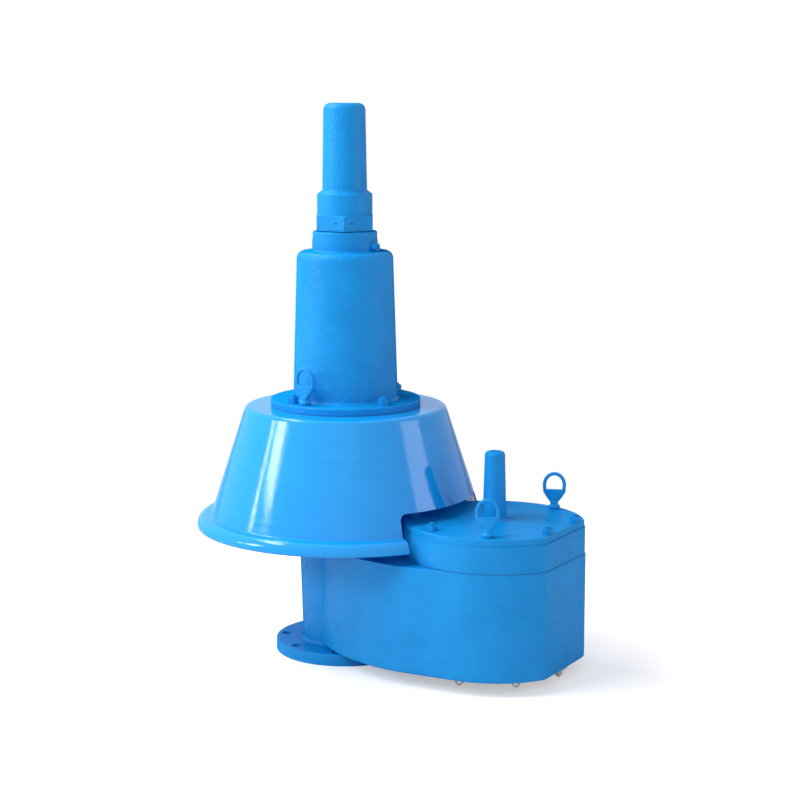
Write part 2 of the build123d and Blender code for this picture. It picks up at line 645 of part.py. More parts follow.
def cap():
    """Screw cap: hexagon with lock-wire holes, round collar and a tall domed tube."""
    z_collar, z_shoulder = Z_CAP + HEX_H, Z_CAP + HEX_H + COLLAR_H
    z_top = Z_CAP + CAP_H
    bore, thread = CAP_R_TOP - CAP_WALL, SPIGOT_R + THREAD_GAP
    z_thread = Z_SPIGOT + 2
    corner = HEX_AF / math.sqrt(3)
    tube = turned((0, Z_CAP), (HEX_AF / 2 - 0.2, Z_CAP), (HEX_AF / 2 - 0.2, z_collar - 0.5),
                  (COLLAR_R, z_collar - 0.5), (COLLAR_R, z_shoulder, 1.5),
                  (CAP_R_FOOT, z_shoulder + CAP_NECK_H, 2), (CAP_R_TOP, z_top, CAP_DOME),
                  (0, z_top))
    envelope = turned((0, Z_CAP), (corner - 2, Z_CAP), (corner, Z_CAP + 2),
                      (corner, z_collar - HEX_CHAMFER), (COLLAR_R, z_collar), (0, z_collar))
    grip = Pos(0, 0, Z_CAP) * extrude(RegularPolygon(corner, 6), HEX_H) & envelope
    hollow = turned((0, Z_CAP - 1), (thread, Z_CAP - 1), (thread, z_thread), (bore, z_thread),
                    (bore, z_top - CAP_WALL, CAP_DOME - CAP_WALL), (0, z_top - CAP_WALL))
    hole_r = corner - WIRE_HOLE_IN * math.tan(math.radians(30))
    drill = Pos(hole_r, -corner, Z_CAP + HEX_H / 2) * Rot(-90, 0, 0)
    wire_hole = Rot(0, 0, -60) * drill * extrude(Circle(WIRE_HOLE_R), 2 * corner)
    return tube + grip - hollow - wire_hole


def cap_gasket():
    """Flat gasket between the cap and the neck."""
    return ring(HEX_AF / 2 - 1, SPIGOT_R + SLIP_GAP, Z_NECK, Z_CAP)


# Vacuum side

def cover_plan(inset=0.0):
    """Outline of the cover, the chamber's round end less a small lap."""
    return end_disc(COVER_LAP + inset)


def vacuum_cover():
    """Thick cover with a stepped edge, a pocket below and a guide boss on top."""
    lower = Pos(0, 0, Z_COVER) * extrude(cover_plan(), COVER_H - COVER_STEP_H)
    upper = Pos(0, 0, Z_COVER) * extrude(cover_plan(COVER_STEP_IN), COVER_H)
    upper = fillet(upper.edges().group_by(Axis.Z)[-1], 2.5)
    boss = turned((0, Z_COVER_TOP - 2), (BOSS_R_FOOT + 12, Z_COVER_TOP - 2),
                  (BOSS_R_FOOT + 12, Z_COVER_TOP), (BOSS_R_FOOT, Z_COVER_TOP, 5),
                  (BOSS_R_TOP, Z_BOSS, 7), (0, Z_BOSS), x=CHAMBER_X)
    cover = lower + upper + boss
    cover -= turned((0, Z_COVER - 1), (COVER_POCKET_R, Z_COVER - 1), (COVER_POCKET_R, Z_POCKET, 6),
                    (0, Z_POCKET), x=CHAMBER_X)
    cover -= ring(VAC_BUSH_R, 0, Z_COVER, Z_BOSS - BOSS_CAP_T, CHAMBER_X)
    for x, y, _ in COVER_POINTS:
        cover -= ring(M10["r"] + 0.5, 0, Z_COVER - 1, Z_COVER_TOP + 1, x, y)
    return cover


def cover_gasket():
    """Flat gasket between the cover and the body."""
    sheet = extrude(cover_plan(), GASKET_T) - Pos(CHAMBER_X, 0) * extrude(Circle(RIM_BORE_R), GASKET_T)
    for x, y, _ in COVER_POINTS:
        sheet -= ring(M10["r"] + 0.5, 0, -1, GASKET_T + 1, x, y)
    return Pos(0, 0, Z_BODY) * sheet


def cover_studs():
    """Studs of the cover, screwed into the chamber's rim."""
    z_high = Z_COVER_TOP + WASHER_T + M10["nut_h"] + STUD_END
    return [rod(M10["r"], Z_BODY - RIM_T + 3, z_high, x, y, 1.0) for x, y, _ in COVER_POINTS]


def cover_nuts():
    """Nuts on the cover's studs, other than at the eye nuts."""
    plain = [p for p in COVER_POINTS if p not in eye_points()]
    return [nut(M10, Z_COVER_TOP + WASHER_T, x, y, a) for x, y, a in plain]


def cover_washers():
    """Washers on the cover."""
    return [washer(M10, Z_COVER_TOP, x, y) for x, y, _ in COVER_POINTS]


def cover_eyes():
    """Eye nuts on two of the cover's studs, both facing the same way."""
    turn = eye_points()[-1][2]
    return [eye_nut(M10, Z_COVER_TOP + WASHER_T, x, y, turn) for x, y, _ in eye_points()]


def vacuum_seat():
    """Seat ring screwed into the air tube."""
    lip_in = SEAT_LIP_R - SEAT_LIP_W
    spigot_r = AIR_TUBE_R - SLIP_GAP
    return turned((lip_in, Z_AIR_TUBE - 10), (spigot_r, Z_AIR_TUBE - 10), (spigot_r, Z_AIR_TUBE),
                  (AIR_TUBE_R + AIR_TUBE_WALL, Z_AIR_TUBE),
                  (AIR_TUBE_R + AIR_TUBE_WALL, Z_AIR_TUBE + 7, 1), (SEAT_LIP_R + 4, Z_AIR_TUBE + 7),
                  (SEAT_LIP_R, Z_VAC_SEAT), (lip_in, Z_VAC_SEAT), x=CHAMBER_X)


def vacuum_spindle():
    """Spindle of the vacuum disc, guided in the cover's boss."""
    z_low = Z_VAC_SEAT + SEAL_T - RETAINER_T - M10["nut_h"] - STUD_END
    z_hub = Z_VAC_SEAT + SEAL_T + DISC_HUB_H
    z_high = Z_BOSS - BOSS_CAP_T - VAC_LIFT - 4
    return turned((0, z_low), (M10["r"], z_low, 1), (M10["r"], z_hub), (VAC_SPINDLE_R, z_hub),
                  (VAC_SPINDLE_R, z_high, 1.5), (0, z_high), x=CHAMBER_X)


def vacuum_bush():
    """Bronze bush in the cover's boss."""
    bore = VAC_SPINDLE_R + RUNNING_GAP
    return turned((bore, Z_POCKET - 4), (VAC_BUSH_R + 6, Z_POCKET - 4), (VAC_BUSH_R + 6, Z_POCKET),
                  (VAC_BUSH_R, Z_POCKET), (VAC_BUSH_R, Z_BOSS - BOSS_CAP_T),
                  (bore, Z_BOSS - BOSS_CAP_T), x=CHAMBER_X)


def flame_screen():
    """Fine gauze disc let into the chamber's floor."""
    return ring(AIR_TUBE_R + SCREEN_LAP - SLIP_GAP, 0, Z_FLOOR, Z_SCREEN, CHAMBER_X)


def screen_ring():
    """Clamping ring under the flame screen."""
    plate = ring(SCREEN_RING_R, AIR_TUBE_R, Z_FLOOR - SCREEN_RING_T, Z_FLOOR, CHAMBER_X)
    for x, y, _ in SCREEN_POINTS:
        plate -= ring(M8["r"] + 0.5, 0, 0, Z_FLOOR + 1, x, y)
    return plate


def screen_studs():
    """Studs that hold the clamping ring."""
    z_low = Z_FLOOR - SCREEN_RING_T - WASHER_T - M8["nut_h"] - STUD_END
    return [ring(M8["r"], 0, z_low, Z_FLOOR + CASTING_WALL - 3, x, y) for x, y, _ in SCREEN_POINTS]


def screen_nuts():
    """Nuts under the clamping ring."""
    z_low = Z_FLOOR - SCREEN_RING_T - WASHER_T - M8["nut_h"]
    return [nut(M8, z_low, x, y, a) for x, y, a in SCREEN_POINTS]


def screen_washers():
    """Washers under the clamping ring."""
    z_low = Z_FLOOR - SCREEN_RING_T - WASHER_T
    return [washer(M8, z_low, x, y) for x, y, _ in SCREEN_POINTS]


def nodes():
    """Every piece by name."""
    return {
        "valve_body": valve_body(),
        "pressure_seat": pressure_seat(),
        "seat_screws": seat_screws(),
        "hood_pillars": pillars(),
        "hood": hood(),
        "hood_gasket": hood_gasket(),
        "bonnet": bonnet(),
        "neck_set_screw": neck_set_screw(),
        "guide_plate": guide_plate(),
        "guide_screws": guide_screws(),
        "spindle_bush": spindle_bush(),
        "bonnet_nuts": bonnet_nuts(),
        "bonnet_washers": bonnet_washers(),
        "lifting_bolts": lifting_bolts(),
        "lifting_eyes": lifting_eyes(),
        "lock_nut": lock_nut(),
        "cap": cap(),
        "cap_gasket": cap_gasket(),
        "adjusting_screw": adjusting_screw(),
        "upper_spring_plate": spring_plate(Z_TOP_PLATE, False, SPINDLE_R + RUNNING_GAP),
        "spring": spring(),
        "lower_spring_plate": spring_plate(Z_LOW_PLATE, True, SPINDLE_R),
        "pressure_disc": valve_disc(Z_SEAT, DISC_R, DISC_T, DISC_HUB_R, DISC_HUB_H, M12["r"]),
        "pressure_seal": seal_ring(Z_SEAT, DISC_R),
        "pressure_retainer": seal_retainer(Z_SEAT, M12["r"] + THREAD_GAP),
        "pressure_disc_nut": nut(M12, Z_SEAT + SEAL_T - RETAINER_T - M12["nut_h"], 0, 0),
        "pressure_spindle": pressure_spindle(),
        "vacuum_cover": vacuum_cover(),
        "cover_gasket": cover_gasket(),
        "cover_studs": cover_studs(),
        "cover_nuts": cover_nuts(),
        "cover_washers": cover_washers(),
        "cover_eyes": cover_eyes(),
        "vacuum_seat": vacuum_seat(),
        "vacuum_bush": vacuum_bush(),
        "vacuum_disc": valve_disc(Z_VAC_SEAT, VAC_DISC_R, VAC_DISC_T, DISC_HUB_R, DISC_HUB_H,
                                  M10["r"], CHAMBER_X),
        "vacuum_seal": seal_ring(Z_VAC_SEAT, VAC_DISC_R, CHAMBER_X),
        "vacuum_retainer": seal_retainer(Z_VAC_SEAT, M10["r"] + THREAD_GAP, CHAMBER_X),
        "vacuum_disc_nut": nut(M10, Z_VAC_SEAT + SEAL_T - RETAINER_T - M10["nut_h"], CHAMBER_X, 0),
        "vacuum_spindle": vacuum_spindle(),
        "flame_screen": flame_screen(),
        "screen_ring": screen_ring(),
        "screen_studs": screen_studs(),
        "screen_nuts": screen_nuts(),
        "screen_washers": screen_washers(),
    }


def solids_of(shape):
    """Flat list of the solids in a shape or in a list of shapes."""
    shapes = shape if isinstance(shape, list) else [shape]
    return [solid for one in shapes for solid in one.solids()]


def main():
    """Write one STEP file per node."""
    os.makedirs("parts", exist_ok=True)
    for name, shape in nodes().items():
        group = solids_of(shape)
        export_step(group[0] if len(group) == 1 else Compound(children=group), f"parts/{name}.step")


if __name__ == "__main__":
    main()
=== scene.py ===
"""Combined pressure and vacuum relief valve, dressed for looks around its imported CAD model.

Every size is in metres, in the frame of the CAD: the origin at the centre of the inlet flange's
underside, +Z up, +X along the centreline towards the vacuum chamber.
"""

import json
import logging
import math
from dataclasses import dataclass, field
from enum import Enum
from typing import Any

import bpy
import numpy as np
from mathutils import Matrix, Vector


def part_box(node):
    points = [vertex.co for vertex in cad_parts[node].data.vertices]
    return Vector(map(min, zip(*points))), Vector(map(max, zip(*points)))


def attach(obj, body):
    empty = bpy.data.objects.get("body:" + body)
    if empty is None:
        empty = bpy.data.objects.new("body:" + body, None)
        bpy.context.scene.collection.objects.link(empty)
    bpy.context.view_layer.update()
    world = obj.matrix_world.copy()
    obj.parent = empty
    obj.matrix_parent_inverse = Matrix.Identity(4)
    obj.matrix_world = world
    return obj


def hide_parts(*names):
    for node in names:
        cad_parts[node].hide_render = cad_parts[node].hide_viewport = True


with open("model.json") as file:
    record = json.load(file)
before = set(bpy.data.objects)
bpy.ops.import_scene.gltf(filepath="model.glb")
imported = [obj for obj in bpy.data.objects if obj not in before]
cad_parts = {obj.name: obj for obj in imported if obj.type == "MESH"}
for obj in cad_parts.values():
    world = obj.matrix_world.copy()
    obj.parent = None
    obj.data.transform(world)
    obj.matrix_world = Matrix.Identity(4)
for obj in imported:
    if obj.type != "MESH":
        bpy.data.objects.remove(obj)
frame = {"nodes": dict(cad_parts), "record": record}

LOG = logging.getLogger("valve")
MM = 0.001
# How strongly each finer octave of a grain shows
OCTAVE_SHARE = 0.55
# Range that nearly all of a grain's height falls in
GRAIN_LOW, GRAIN_HIGH = 0.32, 0.68
# How far a view is from square on where a gloss starts to fade, and where it has faded
FADE_START, FADE_END = 0.3, 0.8
BEVEL_SAMPLES = 4


# Shader building

def linear(hex_colour: str) -> tuple[float, float, float, float]:
    """Turns an sRGB hex colour into the linear values that a shader reads, by the sRGB curve.

    Args:
        hex_colour: Six hex digits after a hash sign.

    Returns:
        Red, green, blue and an alpha of 1.
    """
    parts = np.array([int(hex_colour[k:k + 2], 16) for k in (1, 3, 5)]) / 255
    low, high = parts / 12.92, ((parts + 0.055) / 1.055) ** 2.4
    red, green, blue = np.where(parts <= 0.04045, low, high)
    return float(red), float(green), float(blue), 1.0


def add_node(tree: bpy.types.NodeTree, kind: str, inputs: dict[Any, Any] | None = None,
             **settings: Any) -> bpy.types.Node:
    """Adds one shader node with its settings and links.

    Args:
        tree: The node tree of the material or the world.
        kind: Blender's name of the node type without its ShaderNode prefix.
        inputs: For each input, by name or number, a value or the output socket that feeds it.
        settings: Attributes of the node itself, such as operation.

    Returns:
        The new node.
    """
    node = tree.nodes.new("ShaderNode" + kind)
    for name, value in settings.items():
        setattr(node, name, value)
    for key, value in (inputs or {}).items():
        if isinstance(value, bpy.types.NodeSocket):
            tree.links.new(value, node.inputs[key])
        else:
            node.inputs[key].default_value = value
    return node


@dataclass
class Coating:
    """A material in the making: its tree, its shader, and the steps that all finishes share."""

    name: str
    material: bpy.types.Material = field(init=False)
    tree: bpy.types.NodeTree = field(init=False)
    shader: bpy.types.Node = field(init=False)

    def __post_init__(self) -> None:
        """Makes the material with its Principled shader."""
        self.material = bpy.data.materials.new(self.name)
        self.material.use_nodes = True
        self.tree = self.material.node_tree
        self.shader = self.tree.nodes["Principled BSDF"]

    def grain(self, size: float, detail: float,
              stretch: tuple[float, float, float] = (1, 1, 1)) -> bpy.types.NodeSocket:
        """Adds a random grain on Object coordinates.

        Args:
            size: The grain's width in metres.
            detail: How many finer octaves lie on the grain.
            stretch: How many times finer the grain is along X, Y and Z.

        Returns:
            The grain's height, about 0.3 to 0.7.
        """
        place = add_node(self.tree, "TexCoord").outputs["Object"]
        place = add_node(self.tree, "Mapping", {"Vector": place, "Scale": stretch}).outputs[0]
        return add_node(self.tree, "TexNoise", {"Vector": place, "Scale": 1 / size,
                                                "Detail": detail, "Roughness": OCTAVE_SHARE}
                        ).outputs[0]

    def spread(self, grain: bpy.types.NodeSocket, low: float, high: float) -> bpy.types.NodeSocket:
        """Maps the usual range of a grain onto another range, and stops at its ends.

        Args:
            grain: The grain.
            low: What its low places become.
            high: What its high places become.

        Returns:
            The mapped value.
        """
        return add_node(self.tree, "MapRange", {"Value": grain, "From Min": GRAIN_LOW,
                                                "From Max": GRAIN_HIGH, "To Min": low,
                                                "To Max": high}).outputs[0]

    def blend(self, factor: bpy.types.NodeSocket, first: str,
              second: str) -> bpy.types.NodeSocket:
        """Mixes two hex colours by a factor.

        Args:
            factor: Share of the second colour.
            first: Colour at a factor of 0.
            second: Colour at a factor of 1.

        Returns:
            The mixed colour.
        """
        colours = {6: linear(first), 7: linear(second), "Factor": factor}
        return add_node(self.tree, "Mix", colours, data_type="RGBA").outputs[2]

    def fading_gloss(self, level: float, glancing_level: float) -> bpy.types.NodeSocket:
        """Dulls the reflection at a glancing view, where the surface's fine grain hides it.

        Args:
            level: Strength of the reflection seen square on.
            glancing_level: Strength near the outline.

        Returns:
            The strength.
        """
        facing = add_node(self.tree, "LayerWeight", {"Blend": 0.5}).outputs["Facing"]
        return add_node(self.tree, "MapRange", {"Value": facing, "From Min": FADE_START,
                                                "From Max": FADE_END, "To Min": level,
                                                "To Max": glancing_level}).outputs[0]

    def raise_relief(self, layers: list[tuple[bpy.types.NodeSocket, float]],
                     edge: float = 0.0) -> None:
        """Adds up layers of height into one bump on the shader, over softened edges.

        Args:
            layers: Each layer's grain with its real depth in metres.
            edge: Radius to which sharp edges look rounded, in metres.
        """
        total: Any = 0.0
        for grain, depth in layers:
            total = add_node(self.tree, "Math", {0: grain, 1: depth, 2: total},
                             operation="MULTIPLY_ADD").outputs[0]
        inputs = {"Height": total, "Distance": 1.0}
        if edge:
            rounded = add_node(self.tree, "Bevel", {"Radius": edge}, samples=BEVEL_SAMPLES)
            inputs["Normal"] = rounded.outputs[0]
        self.feed({"Normal": add_node(self.tree, "Bump", inputs).outputs[0]})

    def feed(self, inputs: dict[str, Any]) -> None:
        """Sets or links inputs of the shader.

        Args:
            inputs: For each input's name, a value or the socket that feeds it.
        """
        for name, value in inputs.items():
            if isinstance(value, bpy.types.NodeSocket):
                self.tree.links.new(value, self.shader.inputs[name])
            else:
                self.shader.inputs[name].default_value = value


# Finishes

class Substrate(Enum):
    """What lies under the paint, which sets the texture that shows through it."""

    CASTING = "sand-cast grey iron"
    SHEET = "spun mild steel sheet"
    FASTENER = "forged and plated steel"


@dataclass(frozen=True)
class Enamel:
    """Alkyd enamel, sprayed on in one bright even film.

    Sand, waves and sags show on castings and fasteners, rings and flats on spun sheet, and the
    spray's peel on both.
    """

    name: str
    substrate: Substrate
    thick_colour: str = "#0c86ce"
    thin_colour: str = "#118dd7"
    roughness: float = 0.42
    roughness_spread: float = 0.06
    reflection: float = 0.22
    glancing_reflection: float = 0.0
    edge: float = 1.5 * MM
    sag_size: float = 60 * MM
    wave_size: float = 20 * MM
    wave_depth: float = 0.6 * MM
    sand_size: float = 6.5 * MM
    sand_depth: float = 1.5 * MM
    peel_size: float = 1.5 * MM
    peel_depth: float = 0.04 * MM
    ring_pitch: float = 3 * MM
    ring_depth: float = 0.04 * MM
    ring_stretch: tuple[float, float, float] = (0.004, 0.004, 1)
    flat_size: float = 7 * MM
    flat_depth: float = 0.16 * MM
    flat_stretch: tuple[float, float, float] = (1, 1, 0.04)

    def build(self) -> bpy.types.Material:
        """Builds the paint with the texture of what lies under it.

        Returns:
            The paint.
        """
        coating = Coating(self.name)
        peel = coating.grain(self.peel_size, detail=1.0)
        layers = [(peel, self.peel_depth)]
        if self.substrate is Substrate.SHEET:
            layers.append((coating.grain(self.ring_pitch, detail=3.0, stretch=self.ring_stretch),
                           self.ring_depth))
            layers.append((coating.grain(self.flat_size, detail=3.0, stretch=self.flat_stretch),
                           self.flat_depth))
            film = layers[1][0]
        else:
            layers.append((coating.grain(self.sand_size, detail=3.0), self.sand_depth))
            layers.append((coating.grain(self.wave_size, detail=1.0), self.wave_depth))
            film = coating.grain(self.sag_size, detail=4.0)
        coating.feed({
            "Base Color": coating.blend(coating.spread(film, 0, 1), self.thick_colour,
                                        self.thin_colour),
            "Roughness": coating.spread(layers[1][0], self.roughness - self.roughness_spread,
                                        self.roughness + self.roughness_spread),
            "Specular IOR Level": coating.fading_gloss(self.reflection,
                                                       self.glancing_reflection),
        })
        coating.raise_relief(layers, self.edge)
        return coating.material


class Working(Enum):
    """How a metal surface was made, as how fine its grain is along X, Y and Z."""

    TURNED = (0.02, 0.02, 1.0)
    PLATED = (1.0, 1.0, 1.0)
    DRAWN = (1.0, 1.0, 0.05)


@dataclass(frozen=True)
class Metal:
    """A bare metal with the marks of how it was worked, and slight staining."""

    name: str
    colour: str
    dull_colour: str
    roughness: float
    working: Working
    mark_size: float = 0.8 * MM
    mark_depth: float = 0.012 * MM
    stain_size: float = 14 * MM
    clean_shine: float = 0.04
    stain_dulling: float = 0.08
    edge: float = 0.3 * MM

    def build(self) -> bpy.types.Material:
        """Builds the metal, smoother where it is clean and rougher where it is stained.

        Returns:
            The metal.
        """
        coating = Coating(self.name)
        stain = coating.grain(self.stain_size, detail=3.0)
        marks = coating.grain(self.mark_size, detail=2.0, stretch=self.working.value)
        coating.feed({
            "Base Color": coating.blend(coating.spread(stain, 0, 1), self.colour,
                                        self.dull_colour),
            "Roughness": coating.spread(stain, self.roughness - self.clean_shine,
                                        self.roughness + self.stain_dulling),
            "Metallic": 1.0,
        })
        coating.raise_relief([(marks, self.mark_depth)], self.edge)
        return coating.material


@dataclass(frozen=True)
class Sheeting:
    """A dull soft sheet, such as compressed fibre or skived fluoropolymer."""

    name: str
    colour: str
    fleck_colour: str
    roughness: float
    fleck_size: float = 0.7 * MM
    fleck_depth: float = 0.05 * MM

    def build(self) -> bpy.types.Material:
        """Builds the sheet with its flecks.

        Returns:
            The sheet's material.
        """
        coating = Coating(self.name)
        fleck = coating.grain(self.fleck_size, detail=3.0)
        coating.feed({
            "Base Color": coating.blend(coating.spread(fleck, 0, 1), self.colour,
                                        self.fleck_colour),
            "Roughness": self.roughness,
        })
        coating.raise_relief([(fleck, self.fleck_depth)])
        return coating.material


FINISHES = {
    # Satin paint: sand grain and soft waves of the casting break up its wide highlights.
    "painted_casting": Enamel("enamel_on_grey_iron", Substrate.CASTING),
    # Glossy paint: fine rings and shallow upright flats from spinning fray its reflections.
    "painted_sheet": Enamel("enamel_on_spun_steel", Substrate.SHEET, "#0d90de", "#1296e5",
                            roughness=0.11, reflection=0.42, glancing_reflection=0.05,
                            peel_size=5 * MM, peel_depth=0.008 * MM, edge=0.5 * MM),
    # Satin paint over small smooth parts, with a faint grain.
    "painted_fastener": Enamel("enamel_on_plated_steel", Substrate.FASTENER, sand_size=1.6 * MM,
                               sand_depth=0.05 * MM, wave_depth=0.05 * MM, edge=0.6 * MM),
    # Turned steel: fine rings round the axis, grey with a warm cast.
    "stainless": Metal("turned_stainless_steel", "#c6c5c0", "#b4b3ae", 0.26, Working.TURNED),
    # Turned bronze: the same rings on a dull yellow brown.
    "bronze": Metal("turned_gunmetal", "#c08d4c", "#9c7440", 0.32, Working.TURNED),
    # Drawn wire: fine streaks under a dark film of oil.
    "spring_steel": Metal("oiled_spring_steel", "#5b5e63", "#43464b", 0.34, Working.DRAWN),
    # Bright plating: cold grey, cloudy where it was handled.
    "zinc_steel": Metal("bright_zinc_on_steel", "#d4d7d9", "#b9bdc0", 0.28, Working.PLATED),
    # Pressed fibre: matt, with short paler fibres, stained by the paint around it.
    "fibre_gasket": Sheeting("compressed_fibre", "#1d5f98", "#2a6ea8", 0.8),
    # Skived fluoropolymer: waxy off-white with faint cloudiness.
    "soft_seal": Sheeting("skived_fluoropolymer", "#ecebe4", "#e2e1d9", 0.5),
    # Drawn and woven wire: dull grey with cloudy stains, and no one grain as its wires cross.
    "gauze": Metal("woven_stainless_wire", "#b5b4ae", "#8f8e89", 0.3, Working.PLATED),
}


class Palette:
    """All materials of the valve, each made once from its finish."""

    def __init__(self) -> None:
        """Builds the materials and reads which slot each CAD node uses."""
        self.made = {slot: finish.build() for slot, finish in FINISHES.items()}
        self.slots = {row["node"]: row["material_slot"] for row in frame["record"]["subparts"]}

    def dress(self, node: str) -> None:
        """Gives a CAD node the material of its own slot.

        Args:
            node: The CAD node's name.
        """
        slots = frame["nodes"][node].data.materials
        slots.clear()
        slots.append(self.made[self.slots[node]])

    def hand_over(self, piece: bpy.types.Object, node: str, body: str) -> None:
        """Finishes a new piece like the CAD node that it replaces.

        Args:
            piece: The new piece.
            node: The node that it stands for.
            body: The CAD body that it moves with.
        """
        piece.data.materials.clear()
        piece.data.materials.append(self.made[self.slots[node]])
        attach(piece, body)
        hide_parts(node)


# Meshes

def add_object(name: str, mesh: bpy.types.Mesh) -> bpy.types.Object:
    """Links a mesh into the scene as an object at the origin.

    Args:
        name: The object's name.
        mesh: Its mesh.

    Returns:
        The object.
    """
    piece = bpy.data.objects.new(name, mesh)
    bpy.context.scene.collection.objects.link(piece)
    return piece


def tube_faces(rows: int, sides: int, start: int) -> list[list[int]]:
    """Numbers the faces of one closed tube whose points lie row by row.

    Args:
        rows: How many rings of points the tube has.
        sides: How many points each ring has.
        start: Number of the tube's first point.

    Returns:
        Quads between the rings, and one face over each end.
    """
    row, side = np.meshgrid(np.arange(rows - 1), np.arange(sides), indexing="ij")
    ahead = (side + 1) % sides
    corners = [row * sides + side, row * sides + ahead,
               (row + 1) * sides + ahead, (row + 1) * sides + side]
    quads = np.stack(corners, axis=-1).reshape(-1, 4) + start
    ring = np.arange(sides) + start
    return quads.tolist() + [ring[::-1].tolist(), (ring + (rows - 1) * sides).tolist()]


def tubes(name: str, points: np.ndarray, sharp: float = 0.7) -> bpy.types.Object:
    """Makes one object of many equal closed tubes.

    Args:
        name: The object's name.
        points: Points by tube, ring, side and axis.
        sharp: Angle in radians over which an edge stays sharp.

    Returns:
        The object.
    """
    count, rows, sides, _ = points.shape
    faces = []
    for tube in range(count):
        faces += tube_faces(rows, sides, tube * rows * sides)
    mesh = bpy.data.meshes.new(name)
    mesh.from_pydata(points.reshape(-1, 3).tolist(), [], faces)
    mesh.shade_smooth()
    mesh.set_sharp_from_angle(angle=sharp)
    return add_object(name, mesh)


@dataclass
class Thread:
    """A metric thread."""

    radius: float
    pitch: float
    sides: int = 24
    rows_per_turn: int = 8
    ridge_share: float = 0.61
    runout: float = 0.01 * MM

    @property
    def depth(self) -> float:
        """Height of the thread's ridge."""
        return self.ridge_share * self.pitch

    def rows(self, low: float, high: float) -> np.ndarray:
        """Heights of the rings that a threaded stretch needs.

        Args:
            low: Where it starts.
            high: Where it ends.

        Returns:
            The heights.
        """
        turns = (high - low) / self.pitch
        return np.linspace(low, high, int(turns * self.rows_per_turn) + 1)

    def rod(self, centre: tuple[float, float], stretches: list[tuple[float, float]],
            shank: float) -> np.ndarray:
        """Points of a round rod that is threaded along some stretches.

        The radius of a threaded stretch is its mean plus half the ridge times the cosine of
        the turn: the height over the pitch, less the angle round the axis. It never passes a
        45 degree cone at either end of the rod.

        Args:
            centre: X and Y of its axis.
            stretches: Low and high end of each threaded stretch, from the bottom up.
            shank: Radius of the rod between them.

        Returns:
            Points by ring, side and axis.
        """
        heights = np.concatenate([self.rows(*stretch) for stretch in stretches])
        angle = np.arange(self.sides) * 2 * np.pi / self.sides
        turn = 2 * np.pi * heights[:, None] / self.pitch - angle
        radius = self.radius - self.depth * (0.5 - 0.5 * np.cos(turn))
        to_end = np.minimum(heights - heights[0], heights[-1] - heights)[:, None]
        radius = np.minimum(radius, self.radius - self.depth + to_end)
        if len(stretches) == 2:
            first = len(self.rows(*stretches[0]))
            radius = np.insert(radius, first, np.full((2, self.sides), shank), axis=0)
            between = [stretches[0][1] + self.runout, stretches[1][0] - self.runout]
            heights = np.insert(heights, first, between)
        across = centre[0] + radius * np.cos(angle), centre[1] + radius * np.sin(angle)
        return np.stack([*across, np.broadcast_to(heights[:, None], radius.shape)], axis=-1)


def circle_points(radius: float, angles: np.ndarray, x: float = 0.0) -> list[tuple[float, float]]:
    """Places on a circle round a vertical axis at Y 0.

    Args:
        radius: The circle's radius.
        angles: Bearings in degrees.
        x: Where the axis stands.

    Returns:
        X and Y of each place.
    """
    turns = np.radians(angles)
    return list(zip(x + radius * np.cos(turns), radius * np.sin(turns)))


